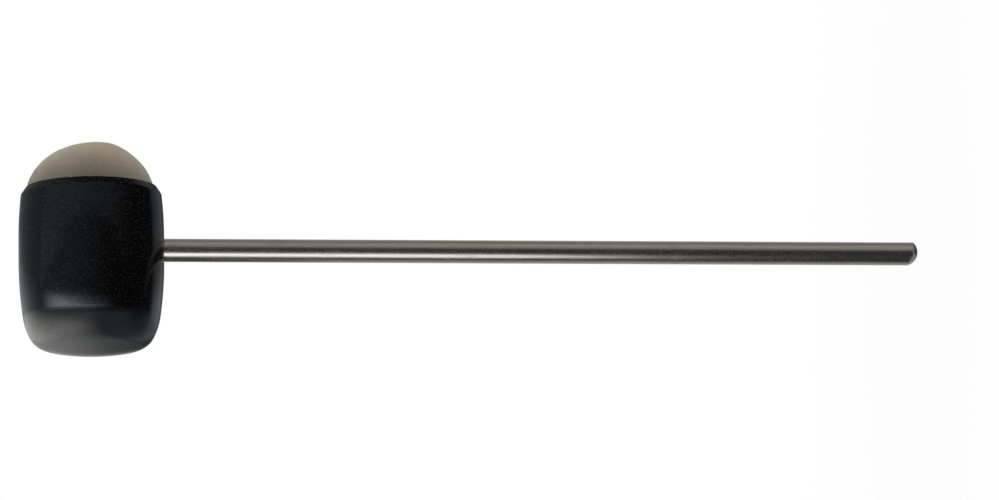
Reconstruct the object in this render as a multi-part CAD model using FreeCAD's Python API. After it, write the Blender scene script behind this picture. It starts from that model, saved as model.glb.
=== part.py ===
import FreeCAD, Part
import math
import os

# A two-way bass drum beater, in millimetres and degrees.
# A plain steel shaft stands along +Z. Its barrel-shaped head lies across it, along Y:
# the felt face looks to -Y and the bare plastic face to +Y.
# The origin is on the shaft's axis, where the rounding of the free end runs out and the grip begins.

# Shaft
shaft_diameter = 6.35
grip_length = 204.35
shaft_past_head_axis = 8.0

# Free end of the shaft, dressed to a ball that sits a little off the axis and is flat at its crown
tip_ball_offset = 0.45
tip_ball_margin = 0.1
tip_flat_cut = 0.15

# Knurled end of the shaft, moulded into the head: a relief groove ends the grip where the head begins
knurl_relief_width = 0.6
knurl_teeth = 24
knurl_tooth_height = 0.2
knurl_root_depth = 0.25
knurl_end_margin = 1.5
lock_groove_width = 3.0
lock_groove_depth = 0.6

# Head body: a barrel with a straight belt where the shaft goes in.
# Its plastic end turns over in ever tighter arcs and has a slightly domed face.
# An angle is how far the outline has turned from the belt, where it runs along the head's axis.
barrel_radius = 19.9
barrel_belt_width = 6.6
barrel_side_radius = 107.6
heel_radius = 18.4
heel_start_angle = 8.1
corner_radius = 5.7
corner_start_angle = 27.5
face_edge_slope = 12.2

# Cup for the felt, at the other end of the head body, closed by a thin bevelled lip
cup_floor_wall = 5.325
cup_depth = 8.6
lip_bevel_height = 1.9
lip_bevel_width = 1.26
lip_land = 0.2
lip_outer_round = 0.9

# Felt pad: a plug that fills the cup up to its rim and then rises as a dome, the soft striking face
felt_cup_clearance = 0.05
felt_dome_rise = 12.9

# Adhesive under the felt
glue_thickness = 0.3
glue_edge_margin = 1.5

# Extra length of any cutting tool past the face that it cuts
overrun = 5.0

# How near two levels have to be to count as one, as a share of the piece's size
same_level_share = 1e-6

# Worked out from the sizes above: the shaft's levels are heights, and the head's run along its own axis
shaft_radius = shaft_diameter / 2
tip_ball_reach = shaft_radius + tip_ball_offset
tip_ball_radius = tip_ball_reach + tip_ball_margin
tip_ball_level = math.sqrt(tip_ball_radius ** 2 - tip_ball_reach ** 2)
tip_level = tip_ball_level - tip_ball_radius + tip_flat_cut
head_axis_level = grip_length + barrel_radius
shaft_end_level = head_axis_level + shaft_past_head_axis
cup_floor_level = shaft_radius + cup_floor_wall
rim_level = cup_floor_level + cup_depth
bevel_level = rim_level - lip_bevel_height
bevel_angle = math.asin((bevel_level - barrel_belt_width / 2) / barrel_side_radius)
bevel_bottom_radius = barrel_radius - barrel_side_radius * (1 - math.cos(bevel_angle))
bevel_top_radius = bevel_bottom_radius - lip_bevel_width
cup_radius = bevel_top_radius - lip_land
felt_plug_radius = cup_radius - felt_cup_clearance
felt_base_level = cup_floor_level + glue_thickness

Z_AXIS = FreeCAD.Vector(0, 0, 1)
Y_AXIS = FreeCAD.Vector(0, 1, 0)
HEAD_CENTRE = FreeCAD.Vector(0, 0, head_axis_level)


def head_point(along, out):
    """The point `along` the head's axis towards the felt and `out` from that axis, above it."""
    return FreeCAD.Vector(0, -along, head_axis_level + out)


def line(start, end):
    return Part.LineSegment(start, end).toShape()


def arc(start, middle, end):
    return Part.Arc(start, middle, end).toShape()


def turned(edges):
    """The solid that a closed outline sweeps in a full turn about the head's axis."""
    outline = Part.Face(Part.Wire(edges))
    return outline.revolve(HEAD_CENTRE, Y_AXIS, 360)


def ball_cap(along, radius, rise, direction):
    """A cap cut from a ball: its flat disc of `radius` is at `along`, and it rises in `direction`."""
    disc_centre = head_point(along, 0)
    ball_radius = (radius ** 2 + rise ** 2) / (2 * rise)
    ball = Part.makeSphere(ball_radius, disc_centre + direction * (rise - ball_radius))
    return ball.common(Part.makeCylinder(radius, rise + overrun, disc_centre, direction))


def round_edges_at(solid, along, radius):
    """Round the circular edges of `solid` that lie at one level of the head's axis."""
    tolerance = solid.BoundBox.DiagonalLength * same_level_share
    whole_edges = [edge for edge in solid.Edges if not edge.Degenerated]
    circles = [edge for edge in whole_edges if isinstance(edge.Curve, Part.Circle)]
    at_level = [edge for edge in circles if abs(edge.Curve.Center.y + along) < tolerance]
    return solid.makeFillet(radius, at_level)


# Shaft

def knurl_band(bottom, top):
    """A band of straight teeth: a star outline drawn up from `bottom` to `top`."""
    points = []
    for step in range(2 * knurl_teeth):
        on_tip = step % 2 == 0
        radius = shaft_radius + knurl_tooth_height if on_tip else shaft_radius - knurl_root_depth
        angle = math.pi * step / knurl_teeth
        points.append(FreeCAD.Vector(radius * math.cos(angle), radius * math.sin(angle), bottom))
    points.append(points[0])
    return Part.Face(Part.makePolygon(points)).extrude(Z_AXIS * (top - bottom))


def plain_rod(top):
    """The rod from its ball-dressed free end up to `top`."""
    rod = Part.makeCylinder(shaft_radius, top - tip_level, Z_AXIS * tip_level, Z_AXIS)
    ball_centre = FreeCAD.Vector(0, -tip_ball_offset, tip_ball_level)
    ball = Part.makeSphere(tip_ball_radius, ball_centre)
    clear_of_rod = Part.makeCylinder(tip_ball_radius, top + overrun, ball_centre, Z_AXIS)
    return rod.common(ball.fuse(clear_of_rod))


def make_shaft():
    knurl_bottom = grip_length + knurl_relief_width
    knurl_top = shaft_end_level - knurl_end_margin
    groove_middle = (knurl_bottom + knurl_top) / 2
    groove_bottom = groove_middle - lock_groove_width / 2
    groove_top = groove_middle + lock_groove_width / 2
    root_radius = shaft_radius - knurl_root_depth
    core_radius = shaft_radius - lock_groove_depth

    relief = Part.makeCylinder(root_radius, knurl_relief_width, Z_AXIS * grip_length, Z_AXIS)
    core = Part.makeCylinder(core_radius, lock_groove_width, Z_AXIS * groove_bottom, Z_AXIS)
    lead = Part.makeCone(root_radius, core_radius, knurl_end_margin, Z_AXIS * knurl_top, Z_AXIS)
    knurls = [knurl_band(knurl_bottom, groove_bottom), knurl_band(groove_top, knurl_top)]
    return plain_rod(grip_length).multiFuse([relief, core, lead] + knurls).removeSplitter()


# Head body

class SmoothOutline:
    """Lines and arcs that each carry on from the last one and turn towards the head's axis."""

    def __init__(self, along, out, angle):
        self.along = along
        self.out = out
        self.angle = angle
        self.edges = []

    def point_at(self, radius, angle):
        along = self.along - radius * (math.sin(angle) - math.sin(self.angle))
        out = self.out - radius * (math.cos(self.angle) - math.cos(angle))
        return along, out

    def run(self, length):
        start = head_point(self.along, self.out)
        self.along -= length * math.cos(self.angle)
        self.out -= length * math.sin(self.angle)
        self.edges.append(line(start, head_point(self.along, self.out)))

    def turn_to(self, radius, degrees):
        angle = math.radians(degrees)
        start = head_point(self.along, self.out)
        middle = head_point(*self.point_at(radius, (self.angle + angle) / 2))
        along, out = self.point_at(radius, angle)
        self.edges.append(arc(start, middle, head_point(along, out)))
        self.along = along
        self.out = out
        self.angle = angle


def make_head_body(shaft):
    side = SmoothOutline(bevel_level, bevel_bottom_radius, -bevel_angle)
    side.turn_to(barrel_side_radius, 0)
    side.run(barrel_belt_width)
    side.turn_to(barrel_side_radius, heel_start_angle)
    side.turn_to(heel_radius, corner_start_angle)
    side.turn_to(corner_radius, 90 - face_edge_slope)

    face_edge = head_point(side.along, side.out)
    face_middle = head_point(side.along, 0)
    cup_middle = head_point(cup_floor_level, 0)
    cup_corner = head_point(cup_floor_level, cup_radius)
    cup_mouth = head_point(rim_level, cup_radius)
    bevel_top = head_point(rim_level, bevel_top_radius)
    bevel_bottom = head_point(bevel_level, bevel_bottom_radius)
    inside = [
        line(face_edge, face_middle),
        line(face_middle, cup_middle),
        line(cup_middle, cup_corner),
        line(cup_corner, cup_mouth),
        line(cup_mouth, bevel_top),
        line(bevel_top, bevel_bottom),
    ]
    barrel = round_edges_at(turned(side.edges + inside), bevel_level, lip_outer_round)
    crown_rise = side.out * math.tan(math.radians(face_edge_slope) / 2)
    crown = ball_cap(side.along, side.out, crown_rise, Y_AXIS)
    return barrel.fuse(crown).cut(shaft).removeSplitter()


# Felt pad and the adhesive under it

def make_felt_pad():
    plug_height = rim_level - felt_base_level
    plug = Part.makeCylinder(felt_plug_radius, plug_height, head_point(felt_base_level, 0), -Y_AXIS)
    dome = ball_cap(rim_level, felt_plug_radius, felt_dome_rise, -Y_AXIS)
    return plug.fuse(dome).removeSplitter()


def make_felt_glue():
    radius = felt_plug_radius - glue_edge_margin
    return Part.makeCylinder(radius, glue_thickness, head_point(cup_floor_level, 0), -Y_AXIS)


def main():
    shaft = make_shaft()
    pieces = {
        "shaft": shaft,
        "head_body": make_head_body(shaft),
        "felt_pad": make_felt_pad(),
        "felt_glue": make_felt_glue(),
    }
    os.makedirs("parts", exist_ok=True)
    for name, shape in pieces.items():
        solid = shape.Solids[0] if len(shape.Solids) == 1 else shape
        print(name, "solids", len(shape.Solids), "valid", shape.isValid(), "volume", round(shape.Volume, 1))
        solid.exportStep(f"parts/{name}.step")


main()
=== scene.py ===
# %% [markdown]
# # A bass drum beater
# A beater is the stick that a foot pedal swings at a bass drum. A steel rod carries a barrel-shaped head
# of black plastic. One end of the head is bare and hard, and a dome of wool felt stands in a cup at the
# other end. The solid model is loaded first and stays where it is. Every finish and every light below is
# fitted round it.

# %% Load the solid model
import math
import bmesh
import bpy
from mathutils import Matrix, Vector, noise


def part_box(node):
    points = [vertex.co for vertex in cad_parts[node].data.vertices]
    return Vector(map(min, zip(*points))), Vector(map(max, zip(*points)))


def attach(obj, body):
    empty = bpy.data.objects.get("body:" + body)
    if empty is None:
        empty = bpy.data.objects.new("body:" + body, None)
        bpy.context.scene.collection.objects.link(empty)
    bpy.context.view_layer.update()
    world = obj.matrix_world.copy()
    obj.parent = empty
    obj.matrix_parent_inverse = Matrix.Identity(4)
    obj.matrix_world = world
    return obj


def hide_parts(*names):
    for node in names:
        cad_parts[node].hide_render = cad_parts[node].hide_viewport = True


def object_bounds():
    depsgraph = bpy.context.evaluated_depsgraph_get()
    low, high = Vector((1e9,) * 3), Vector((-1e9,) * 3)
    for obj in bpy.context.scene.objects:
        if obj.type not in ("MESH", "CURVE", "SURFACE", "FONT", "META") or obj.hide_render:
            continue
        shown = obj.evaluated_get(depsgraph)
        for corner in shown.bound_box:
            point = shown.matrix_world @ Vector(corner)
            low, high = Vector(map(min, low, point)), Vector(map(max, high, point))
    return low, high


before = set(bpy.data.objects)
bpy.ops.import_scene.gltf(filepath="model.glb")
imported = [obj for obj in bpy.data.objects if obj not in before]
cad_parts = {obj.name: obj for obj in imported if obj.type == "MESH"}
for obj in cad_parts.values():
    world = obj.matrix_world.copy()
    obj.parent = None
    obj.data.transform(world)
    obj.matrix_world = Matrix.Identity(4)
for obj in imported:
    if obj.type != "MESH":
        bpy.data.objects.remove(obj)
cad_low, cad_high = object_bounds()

MM = 0.001


def in_mm(lengths):
    return [round(length / MM, 1) for length in lengths]


print("solid model from", in_mm(cad_low), "to", in_mm(cad_high), "mm")

# %% [markdown]
# The sizes that the scene needs are read from the model, so that the looks follow it if it changes. The
# rod stands along Z. The head lies along Y: its felt looks to -Y and its plastic face to +Y.

# %% Measure the model
rod_low, rod_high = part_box("shaft")
head_low, head_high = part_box("head_body")
felt_low, felt_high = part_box("felt_pad")
head_axis_height = (head_low.z + head_high.z) / 2
lip_level = -head_low.y
felt_radius = (felt_high.z - felt_low.z) / 2
felt_apex_level = -felt_low.y
felt_base_level = -felt_high.y
print("rod", in_mm(rod_high - rod_low), "mm along X, Y and Z")
print("head", in_mm(head_high - head_low), "mm, felt", in_mm(felt_high - felt_low), "mm")

# %% [markdown]
# ## The camera
# The photograph was taken with a long lens, almost square to the rod, which lies level with the head at
# the left. The head is rolled a little about the rod, so that its plastic face turns towards the camera,
# and the camera stands a little past the head, which makes the head lean in the picture. A long lens
# keeps the two ends of the rod the same thickness, and its distance follows from the width that the
# picture has to show.

# %% Point the camera
PICTURE_WIDTH_PX = 999
HEAD_AXIS_PX = 92.7
ROD_BELOW_CENTRE_PX = 1.99
PIXEL_SIZE = 0.27386 * MM
HEAD_ROLL = math.radians(10.5)
SIDE_STEP = math.radians(5)
PICTURE_TILT = math.radians(0.28)
LENS_MM = 400
SENSOR_MM = 36

along_rod = Vector((0, 0, -1))
square_on = Vector((-math.cos(HEAD_ROLL), math.sin(HEAD_ROLL), 0))
towards_camera = square_on * math.cos(SIDE_STEP) - along_rod * math.sin(SIDE_STEP)
level_right = along_rod * math.cos(SIDE_STEP) + square_on * math.sin(SIDE_STEP)
level_up = towards_camera.cross(level_right)
picture_right = level_right * math.cos(PICTURE_TILT) + level_up * math.sin(PICTURE_TILT)
picture_up = level_up * math.cos(PICTURE_TILT) - level_right * math.sin(PICTURE_TILT)
picture_width = PICTURE_WIDTH_PX * PIXEL_SIZE
head_to_centre = (PICTURE_WIDTH_PX / 2 - HEAD_AXIS_PX) * PIXEL_SIZE / math.cos(SIDE_STEP)
picture_centre = Vector((0, 0, head_axis_height - head_to_centre))
picture_centre += picture_up * ROD_BELOW_CENTRE_PX * PIXEL_SIZE

camera = bpy.data.objects.new("camera", bpy.data.cameras.new("camera"))
bpy.context.scene.collection.objects.link(camera)
camera.data.lens = LENS_MM
camera.data.sensor_width = SENSOR_MM
camera_distance = picture_width * LENS_MM / SENSOR_MM
camera_turn = Matrix((picture_right, picture_up, towards_camera)).transposed().to_4x4()
camera.matrix_world = Matrix.Translation(picture_centre + towards_camera * camera_distance) @ camera_turn
bpy.context.scene.camera = camera
bpy.context.scene.view_settings.view_transform = "Standard"
print("camera", round(camera_distance, 2), "m away, picture", round(picture_width / MM, 1), "mm wide")

# %% [markdown]
# ## A short way to write shaders
# A material is a graph of nodes. Written out one node at a time it takes pages, so two small classes do
# the wiring. `Wire` is the output of a node, and arithmetic on it adds Math nodes.

# %% Wire
class Wire:
    def __init__(self, graph, socket):
        self.graph = graph
        self.socket = socket

    def maths(self, operation, first, second):
        return self.graph.node("ShaderNodeMath", {"operation": operation}, {0: first, 1: second})

    def out(self, name):
        """Another output of the same node."""
        return Wire(self.graph, self.socket.node.outputs[name])

    def __add__(self, other):
        return self.maths("ADD", self, other)

    def __radd__(self, other):
        return self.maths("ADD", other, self)

    def __sub__(self, other):
        return self.maths("SUBTRACT", self, other)

    def __rsub__(self, other):
        return self.maths("SUBTRACT", other, self)

    def __mul__(self, other):
        return self.maths("MULTIPLY", self, other)

    def __rmul__(self, other):
        return self.maths("MULTIPLY", other, self)


# %% [markdown]
# `Graph` makes any other node: its settings are set first, and then its inputs get a number, a colour or
# a wire. Its other methods are the few nodes that come up again and again below.

# %% Graph
# A Mix node keeps one set of sockets for each kind of value. These are the places of its colour sockets.
MIX_SHARE = 0
MIX_FIRST = 6
MIX_SECOND = 7
MIX_RESULT = 2


class Graph:
    def __init__(self, tree):
        self.tree = tree
        self.tree.nodes.clear()

    def node(self, kind, settings=None, inputs=None, output=0):
        """Make a node and return the wire of one output, or the node itself where it has none."""
        made = self.tree.nodes.new(kind)
        for name, value in (settings or {}).items():
            setattr(made, name, value)
        for name, value in (inputs or {}).items():
            if isinstance(value, Wire):
                self.tree.links.new(value.socket, made.inputs[name])
            else:
                made.inputs[name].default_value = value
        return Wire(self, made.outputs[output]) if made.outputs else made

    def step(self, value, none, full):
        """0 up to where `value` is `none`, 1 from where it is `full`, and a soft step between."""
        return self.node("ShaderNodeMapRange", {"interpolation_type": "SMOOTHSTEP"},
                         {"Value": value, "From Min": none, "From Max": full})

    def mix(self, share, first, second):
        """The colour `first` where `share` is 0, and `second` where it is 1."""
        return self.node("ShaderNodeMix", {"data_type": "RGBA"},
                         {MIX_SHARE: share, MIX_FIRST: first, MIX_SECOND: second}, output=MIX_RESULT)

    def place(self, scale=(1, 1, 1)):
        """The spot on the piece, in its own axes, times `scale` along X, Y and Z."""
        spot = self.node("ShaderNodeTexCoord", output="Object")
        return self.node("ShaderNodeMapping", {}, {"Vector": spot, "Scale": scale})

    def noise(self, scale, detail=2.0, roughness=0.5, swirl=0.0):
        """Noise from 0 to 1 with lumps 1 / `scale` metres long on each axis, which `swirl` draws out."""
        return self.node("ShaderNodeTexNoise", {},
                         {"Vector": self.place(scale), "Scale": 1.0, "Detail": detail,
                          "Roughness": roughness, "Distortion": swirl})

    def bump(self, height, depth):
        """A Bump node: `height` from 0 to 1 stands for `depth` metres."""
        return self.node("ShaderNodeBump", {}, {"Height": height, "Distance": depth, "Strength": 1.0})


# %% [markdown]
# ## The studio
# The background is white, as in the photograph, but only rays that come from the camera, a reflection or
# a window see that white. Light that falls on the object from all round is a plain, weaker grey.

# %% White world
FILL_LIGHT = 0.22


def grey(level):
    return (level, level, level, 1)


world = bpy.data.worlds.new("studio")
bpy.context.scene.world = world
world.use_nodes = True
world.cycles.sampling_method = "NONE"
sky = Graph(world.node_tree)
path = sky.node("ShaderNodeLightPath", output="Is Camera Ray")
seen = path + path.out("Is Glossy Ray") + path.out("Is Transmission Ray")
backdrop = sky.node("ShaderNodeBackground", {},
                    {"Color": grey(1), "Strength": FILL_LIGHT + (1 - FILL_LIGHT) * seen})
sky.node("ShaderNodeOutputWorld", {}, {"Surface": backdrop})
print("world: fill", FILL_LIGHT, "and a white background")

# %% [markdown]
# The floor is a pale disc under the rod's tip. It keeps the object's shadow, and it fades out before its
# rim, so that it has no edge against the white.

# %% Pale floor
FLOOR_RADIUS = 0.3
FLOOR_FADE_START = 0.06
FLOOR_SHADOW_SHARE = 0.07
FLOOR_GREY = 0.9
# Leaves the height out of a spot's distance
FLAT = (1, 1, 0)


def link_mesh(name, shape):
    """Turn a bmesh into an object at the origin."""
    mesh = bpy.data.meshes.new(name)
    shape.to_mesh(mesh)
    shape.free()
    made = bpy.data.objects.new(name, mesh)
    bpy.context.scene.collection.objects.link(made)
    return made


def new_material(name):
    material = bpy.data.materials.new(name)
    material.use_nodes = True
    return material, Graph(material.node_tree)


disc = bmesh.new()
bmesh.ops.create_circle(disc, cap_ends=True, segments=96, radius=FLOOR_RADIUS)
bmesh.ops.translate(disc, verts=disc.verts, vec=(0, 0, cad_low.z))
floor = link_mesh("floor", disc)
floor.visible_glossy = False
paint, graph = new_material("floor_paint")
path = graph.node("ShaderNodeLightPath", output="Is Camera Ray")
from_middle = graph.node("ShaderNodeVectorMath", {"operation": "LENGTH"}, {0: graph.place(FLAT)},
                         output="Value")
fade_out = graph.step(from_middle, none=FLOOR_FADE_START, full=FLOOR_RADIUS)
lit = graph.node("ShaderNodeBsdfDiffuse", {}, {"Color": grey(FLOOR_GREY)})
white = graph.node("ShaderNodeEmission", {}, {"Color": grey(1), "Strength": 1.0})
clear = graph.node("ShaderNodeBsdfTransparent")
shaded = graph.node("ShaderNodeMixShader", {}, {0: path * (1 - FLOOR_SHADOW_SHARE), 1: lit, 2: white})
faded = graph.node("ShaderNodeMixShader", {}, {0: fade_out, 1: shaded, 2: clear})
graph.node("ShaderNodeOutputMaterial", {}, {"Surface": faded})
floor.data.materials.append(paint)
print("floor at", round(cad_low.z / MM, 2), "mm")

# %% [markdown]
# Shiny things show the room, so the room is built too. A dark tent stands all round the object and keeps
# the white background out of its reflections. Inside the tent hang balls of glowing gauze, which only
# reflections show. Light linking lets each ball be mirrored in one piece alone, as a photographer moves a
# reflector until the one thing looks right.
#
# A ball is dark apart from patches of light with soft edges. An edge follows one of four measures of a
# spot on the ball. Three are distances from the picture's centre, in metres: up the picture, towards the
# camera, and along the rod to its free end. The fourth is the turn about the rod's line, in degrees: 0 is
# at the camera, 90 is over the felt, -90 under the plastic face and 180 behind.

# %% Room and tent
class Room:
    """A ball round the picture's centre that only reflections show. It glows at `base` between patches."""

    def __init__(self, name, radius, base):
        ball = bmesh.new()
        bmesh.ops.create_uvsphere(ball, u_segments=64, v_segments=32, radius=radius)
        bmesh.ops.translate(ball, verts=ball.verts, vec=picture_centre)
        self.ball = link_mesh(name, ball)
        for rays in ("camera", "diffuse", "transmission", "shadow", "volume_scatter"):
            setattr(self.ball, "visible_" + rays, False)
        paint, self.graph = new_material(name)
        paint.cycles.emission_sampling = "NONE"
        self.ball.data.materials.append(paint)
        self.spot = self.graph.node("ShaderNodeVectorMath", {"operation": "SUBTRACT"},
                                    {0: self.graph.place(), 1: picture_centre})
        self.up = self.reach(picture_up)
        self.front = self.reach(towards_camera)
        self.along = self.reach(picture_right)
        turn = self.graph.node("ShaderNodeMath", {"operation": "ARCTAN2"}, {0: self.up, 1: self.front})
        self.turn = turn * math.degrees(1)
        self.glow = (base, base, base)

    def reach(self, direction):
        """How far a spot on the ball lies from the picture's centre in one direction, in metres."""
        return self.graph.node("ShaderNodeVectorMath", {"operation": "DOT_PRODUCT"},
                               {0: self.spot, 1: direction}, output="Value")

    def light(self, patch, glow, tint):
        """Add a patch of light: `patch` is 1 where it is full and 0 where it is out."""
        self.glow = self.graph.node("ShaderNodeVectorMath", {"operation": "MULTIPLY_ADD"},
                                    {0: tint, 1: glow * patch, 2: self.glow})

    def hang(self, shown_in=None):
        """Finish the ball: a tent if every piece may mirror it, or gauze for one piece alone."""
        if isinstance(self.glow, tuple):
            # No patch was added, so the glow is still three plain numbers, and a colour socket takes four.
            self.glow = (*self.glow, 1)
        shader = self.graph.node("ShaderNodeEmission", {}, {"Color": self.glow, "Strength": 1.0})
        if shown_in:
            clear = self.graph.node("ShaderNodeBsdfTransparent")
            shader = self.graph.node("ShaderNodeAddShader", {}, {0: clear, 1: shader})
            readers = bpy.data.collections.new(self.ball.name)
            readers.objects.link(shown_in)
            self.ball.light_linking.receiver_collection = readers
        self.graph.node("ShaderNodeOutputMaterial", {}, {"Surface": shader})
        print(self.ball.name, "hangs")


tent = Room("tent", radius=1.7, base=0.02)
tent.hang()

# %% [markdown]
# The barrel is a wide mirror that shows most of the room. It gets a big warm soft box under its hard end,
# dim cool walls above, below and behind, and a narrow bright strip level with the camera, which draws the
# line of light along its middle. Slopes make the edges of the high wall and the strip rise towards the
# camera, and the edge of the box fall.

# %% Gauze for the plastic
WARM = (1, 1, 0.94)
COOL = (0.84, 0.97, 1.03)
BOX_SLOPE = 0.1
WALL_SLOPE = 0.15
STRIP_SLOPE = 0.065

room = Room("head_gauze", radius=1.6, base=0.0)
fade = room.graph.step
box_edge = room.up + BOX_SLOPE * room.front
wall_edge = room.up - WALL_SLOPE * room.front
strip_edge = room.up - STRIP_SLOPE * room.front

soft_box = (fade(box_edge, none=-0.08, full=-0.8) * fade(room.front, none=-1.75, full=0)
            * fade(room.along, none=0.5, full=-1.25))
room.light(soft_box, glow=2.25, tint=WARM)
low_back_glow = (fade(room.up, none=-0.05, full=-0.25) * fade(room.front, none=-0.5, full=-1.2)
                 * fade(room.along, none=-0.02, full=-0.4))
room.light(low_back_glow, glow=0.4, tint=WARM)
past_head_glow = (fade(room.up, none=-0.05, full=-0.2) * fade(room.front, none=0, full=-0.8)
                  * fade(room.along, none=-0.5, full=-1.1))
room.light(past_head_glow, glow=0.5, tint=WARM)
low_wall = (fade(room.up, none=0.05, full=-0.4) * fade(room.front, none=-1.8, full=-0.4)
            * fade(room.along, none=1.9, full=1.1))
room.light(low_wall, glow=0.38, tint=COOL)
band_under_strip = (fade(room.up, none=0.08, full=-0.06) * fade(room.up, none=-0.6, full=-0.2)
                    * fade(room.along, none=0.7, full=-0.4))
room.light(band_under_strip, glow=0.3, tint=COOL)
strip = (fade(strip_edge, none=0.046, full=0) * fade(strip_edge, none=-0.18, full=0)
         * fade(room.front, none=0, full=1.2) * fade(room.along, none=1.2, full=-1.3))
room.light(strip, glow=5.3, tint=COOL)
high_wall = (fade(wall_edge, none=-0.05, full=0.1) * fade(room.up, none=1.75, full=1.35)
             * fade(room.along, none=1.3, full=-1.6))
room.light(high_wall, glow=0.19, tint=COOL)
sharp_edged_board = (fade(room.turn, none=24, full=26) * fade(room.turn, none=75, full=55)
                     * fade(room.along, none=1.6, full=0.6))
room.light(sharp_edged_board, glow=0.13, tint=COOL)
back_wall = (fade(room.front, none=-0.6, full=-1) * fade(room.along, none=0.3, full=0.8)
             * fade(room.along, none=1.55, full=1.3))
room.light(back_wall, glow=0.2, tint=COOL)
low_back_band = (back_wall * fade(room.up, none=0.05, full=-0.1)
                 * fade(room.up, none=-0.45, full=-0.15))
room.light(low_back_band, glow=0.24, tint=COOL)
room.hang(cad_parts["head_body"])

# %% [markdown]
# The rod is a slim mirror that squeezes the room into a few lines along its length, so most of its
# patches are bands of turn. A soft box below it ends halfway along it, and dim walls stand over it and
# behind.

# %% Gauze for the rod
CREAM = (1, 0.95, 0.9)
SAND = (1, 0.96, 0.84)
NO_TINT = (1, 1, 1)

room = Room("rod_gauze", radius=0.4, base=0.018)
fade = room.graph.step

soft_box = (fade(room.turn, none=-20, full=-36) * fade(room.turn, none=-66, full=-48)
            * fade(room.along, none=0.096, full=0.066))
room.light(soft_box, glow=2.2, tint=CREAM)
high_wall = fade(room.turn, none=25, full=52) * fade(room.turn, none=95, full=70)
room.light(high_wall, glow=0.32, tint=SAND)
high_back_wall = fade(room.turn, none=60, full=85) * fade(room.turn, none=160, full=130)
room.light(high_back_wall, glow=0.2, tint=SAND)
low_back_wall = (fade(room.turn, none=-86, full=-108) * fade(room.turn, none=-170, full=-140)
                 * fade(room.along, none=-0.06, full=-0.03))
room.light(low_back_wall, glow=0.36, tint=SAND)
back_glow = fade(room.front, none=-0.22, full=-0.33)
room.light(back_glow, glow=0.4, tint=NO_TINT)
room.hang(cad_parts["shaft"])

# %% [markdown]
# Felt and floor are matt, so they need light and not reflections. Two soft panels give it: one over the
# felt and a little behind it, and one past the head, which shines along the rod onto the floor.

# %% Soft panels
TOP_TURN = math.radians(100)
TOP_STEP = 0.35

head_middle = Vector((0, 0, head_axis_height))


def soft_panel(name, facing, distance, size, glow):
    """A glowing square that faces the head from `distance` away, and that reflections don't show."""
    plane = bmesh.new()
    bmesh.ops.create_grid(plane, x_segments=1, y_segments=1, size=size / 2)
    turn = facing.to_track_quat("Z", "Y").to_matrix().to_4x4()
    spot = Matrix.Translation(head_middle + facing * distance)
    bmesh.ops.transform(plane, verts=plane.verts, matrix=spot @ turn)
    panel = link_mesh(name, plane)
    panel.visible_camera = False
    panel.visible_glossy = False
    paint, graph = new_material(name)
    light = graph.node("ShaderNodeEmission", {}, {"Color": grey(1), "Strength": glow})
    graph.node("ShaderNodeOutputMaterial", {}, {"Surface": light})
    panel.data.materials.append(paint)
    print(name, "glows at", glow)


top_facing = towards_camera * math.cos(TOP_TURN) + picture_up * math.sin(TOP_TURN)
top_facing += picture_right * TOP_STEP
top_facing.normalize()
soft_panel("top_panel", top_facing, distance=0.7, size=0.8, glow=2.8)
soft_panel("end_panel", -along_rod, distance=0.8, size=1.0, glow=2.4)

# %% [markdown]
# ## The steel rod
# The rod is cut from drawn bar. Drawing leaves fine scratches along its length, so it shines softly
# across them and sharply along them. The shader's anisotropy does that, and noise stretched along Z draws
# the scratches themselves. Handling leaves a few dull stains.

# %% Drawn steel
STEEL_DULL = (0.47, 0.465, 0.455, 1)
STEEL_BRIGHT = (0.6, 0.595, 0.58, 1)
STEEL_STAIN = (0.40, 0.385, 0.36, 1)
SCRATCH_DEPTH = 0.004 * MM


def surface(graph, constants, varying):
    """The Principled shader that ends a material: plain numbers, and wires to the few sockets that vary."""
    shader = graph.node("ShaderNodeBsdfPrincipled", {}, {**constants, **varying})
    graph.node("ShaderNodeOutputMaterial", {}, {"Surface": shader})


def dress(name, paint):
    """Give a piece of the solid model its finish."""
    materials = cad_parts[name].data.materials
    materials.clear()
    materials.append(paint)
    print(name, "gets", paint.name)


paint, graph = new_material("drawn_steel")
fine_lines = graph.noise(scale=(9000, 9000, 60), detail=3.0, roughness=0.6)
broad_lines = graph.noise(scale=(1500, 1500, 25))
stains = graph.noise(scale=(180, 180, 90), detail=4.0, roughness=0.6)
shine = graph.step(0.6 * fine_lines + 0.4 * broad_lines, none=0.35, full=0.65)
tone = graph.mix(shine, STEEL_DULL, STEEL_BRIGHT)
tone = graph.mix(0.35 * graph.step(stains, none=0.55, full=0.75), tone, STEEL_STAIN)
roughness = 0.2 + 0.1 * fine_lines + 0.08 * graph.step(stains, none=0.5, full=0.8)
scratches = graph.bump(0.7 * fine_lines + 0.3 * broad_lines, SCRATCH_DEPTH)
surface(graph, {"Metallic": 1.0, "Anisotropic": 0.6},
        {"Base Color": tone, "Roughness": roughness, "Normal": scratches})
dress("shaft", paint)

# %% [markdown]
# ## The black plastic head
# The head is moulded from black plastic with a satin skin. It is nearly black by itself, and what is seen
# of it is the room in its gloss. The mould's grain speckles it, and with a slight cloudiness in the
# roughness that keeps it from looking like glass.

# %% Moulded plastic
PLASTIC_BLACK = (0.0002, 0.0003, 0.0006, 1)
PLASTIC_SPECK = (0.0180, 0.0190, 0.0215, 1)
PLASTIC_GRAIN_DEPTH = 0.005 * MM

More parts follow.
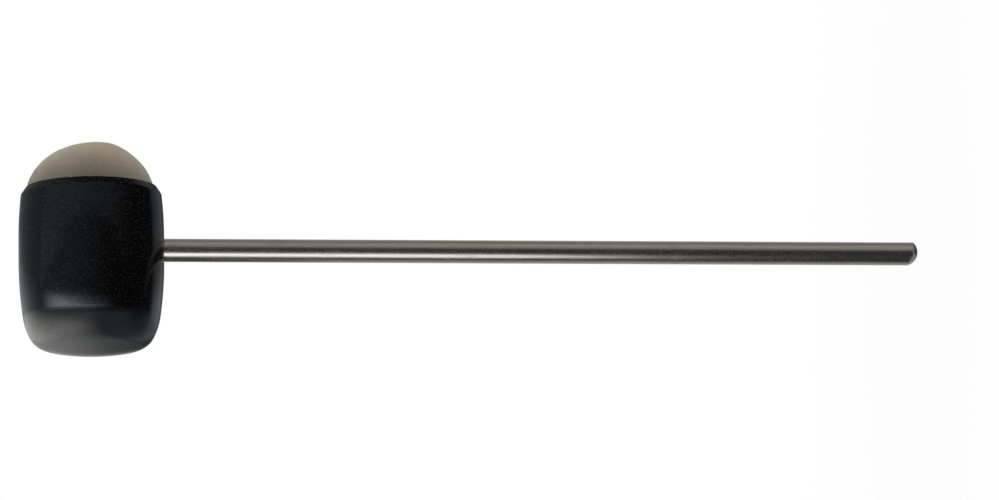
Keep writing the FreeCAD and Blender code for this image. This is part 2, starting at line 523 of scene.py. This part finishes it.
paint, graph = new_material("black_plastic")
clouds = graph.noise(scale=(120, 120, 120), detail=3.0)
grain = graph.noise(scale=(1900, 1900, 1900), roughness=0.7)
tone = graph.mix(graph.step(grain, none=0.48, full=0.70), PLASTIC_BLACK, PLASTIC_SPECK)
surface(graph, {"IOR": 1.5},
        {"Base Color": tone, "Roughness": 0.09 + 0.05 * clouds,
         "Normal": graph.bump(grain, PLASTIC_GRAIN_DEPTH)})
dress("head_body", paint)

# %% [markdown]
# ## The adhesive
# A thin layer of amber adhesive holds the felt in its cup. The felt covers it, so it only needs a plain
# honest finish: two ambers that swirl into each other, duller where it is paler.

# %% Adhesive
AMBER_DARK = (0.52, 0.42, 0.24, 1)
AMBER_PALE = (0.68, 0.60, 0.42, 1)

paint, graph = new_material("adhesive")
swirl = graph.noise(scale=(300, 300, 300), detail=4.0)
tone = graph.mix(swirl, AMBER_DARK, AMBER_PALE)
surface(graph, {"IOR": 1.48}, {"Base Color": tone, "Roughness": 0.35 + 0.25 * swirl})
dress("felt_glue", paint)

# %% [markdown]
# ## The felt dome
# The felt is a plug of pressed wool, cut to a dome. It is made as one closed form: a ball is squeezed to
# the dome's height, cut level with the lip, and its edge is drawn down into the cup and closed. The
# ball's middle is sunk below the lip, so that the dome leaves the lip at a slant.

# %% Cut the dome
DOME_SINK = 3.2 * MM

dome_level = lip_level - DOME_SINK
dome_height = felt_apex_level - dome_level
dome_radius = felt_radius / math.sqrt(1 - (DOME_SINK / dome_height) ** 2)


def open_edges(shape):
    return [edge for edge in shape.edges if edge.is_boundary]


felt_shape = bmesh.new()
bmesh.ops.create_icosphere(felt_shape, subdivisions=6, radius=1)
bmesh.ops.scale(felt_shape, verts=felt_shape.verts, vec=(dome_radius, dome_height, dome_radius))
bmesh.ops.translate(felt_shape, verts=felt_shape.verts, vec=(0, -dome_level, head_axis_height))
bmesh.ops.bisect_plane(felt_shape, geom=felt_shape.verts[:] + felt_shape.edges[:] + felt_shape.faces[:],
                       plane_co=(0, -lip_level, 0), plane_no=(0, 1, 0), clear_outer=True)
drawn_down = bmesh.ops.extrude_edge_only(felt_shape, edges=open_edges(felt_shape))["geom"]
bottom = [item for item in drawn_down if isinstance(item, bmesh.types.BMVert)]
bmesh.ops.translate(felt_shape, verts=bottom, vec=(0, lip_level - felt_base_level, 0))
bmesh.ops.holes_fill(felt_shape, edges=open_edges(felt_shape))
felt_shape.normal_update()
print("dome of", round(dome_radius / MM, 2), "mm radius, open edges left:", len(open_edges(felt_shape)))

# %% [markdown]
# The crown leans a little towards the rod's free end, as the photograph shows, and the whole face is
# slightly lumpy, as hand-finished felt is. Only the points at the lip and above it move, so that the plug
# still fits its cup.

# %% Lean and lumps
DOME_TRIM = 0.3 * MM
SIDE_LEAN = 0.25 * MM
CROWN_LEAN = 2.3 * MM
CROWN_LEAN_POWER = 8
SAME_LEVEL_SHARE = 0.001
# The size and the depth of each kind of lump
LUMPS = ((7.0 * MM, 0.10 * MM), (2.2 * MM, 0.05 * MM), (0.8 * MM, 0.03 * MM))

dome_rise = felt_apex_level - lip_level
for vertex in felt_shape.verts:
    above_lip = (-vertex.co.y - lip_level) / dome_rise
    if above_lip > -SAME_LEVEL_SHARE:
        swell = sum(depth * noise.noise(vertex.co / size) for size, depth in LUMPS)
        vertex.co += vertex.normal * (swell - DOME_TRIM)
        vertex.co.z += SIDE_LEAN - CROWN_LEAN * max(above_lip, 0) ** CROWN_LEAN_POWER
bmesh.ops.recalc_face_normals(felt_shape, faces=felt_shape.faces)
for face in felt_shape.faces:
    face.smooth = True
felt = link_mesh("felt_dome", felt_shape)
print("felt", len(felt.data.polygons), "faces, stands", round(dome_rise / MM, 1), "mm out of the lip")

# %% [markdown]
# Wool felt is a mat of fibres in slightly different greys and creams. Swirled noise draws the matted
# strands, finer noise the nap, and broad noise the blotches. By the lip the felt is painted darker, as
# painted shade. Sheen is the light that the loose fibres catch at the edge of
# the dome.

# %% Wool felt
WOOL_DARK = (0.210, 0.180, 0.127, 1)
WOOL_PALE = (0.355, 0.305, 0.220, 1)
WOOL_BLOTCH = (0.235, 0.201, 0.15, 1)
# A darker wool that paints shade on the felt by the lip, and the height over which that painted shade fades
# out
WOOL_LIP_SHADE = (0.135, 0.12, 0.098, 1)
LIP_SHADE_HEIGHT = 9 * MM
FIBRE_DEPTH = 0.12 * MM

paint, graph = new_material("wool_felt")
fibres = graph.noise(scale=(1100, 1100, 1100), detail=4.0, roughness=0.6, swirl=2.5)
nap = graph.noise(scale=(5200, 5200, 5200), detail=3.0, roughness=0.6)
blotches = graph.noise(scale=(160, 160, 160), detail=3.0)
along_head = graph.node("ShaderNodeSeparateXYZ", {}, {0: graph.place()}, output="Y")
# Painted shade: the felt is darkest at the lip and clears over the lowest part of the dome
lip_shade = graph.step(along_head, none=-lip_level - LIP_SHADE_HEIGHT, full=-lip_level)
tone = graph.mix(graph.step(0.6 * fibres + 0.4 * nap, none=0.3, full=0.7), WOOL_DARK, WOOL_PALE)
tone = graph.mix(0.5 * graph.step(blotches, none=0.4, full=0.7), tone, WOOL_BLOTCH)
tone = graph.mix(0.55 * lip_shade, tone, WOOL_LIP_SHADE)
surface(graph, {"Sheen Weight": 0.3, "Sheen Roughness": 0.5, "Roughness": 1.0, "Specular IOR Level": 0.1},
        {"Base Color": tone, "Normal": graph.bump(0.5 * fibres + 0.5 * nap, FIBRE_DEPTH)})
felt.data.materials.append(paint)
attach(felt, "root")
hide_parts("felt_pad")
print("felt gets", paint.name)
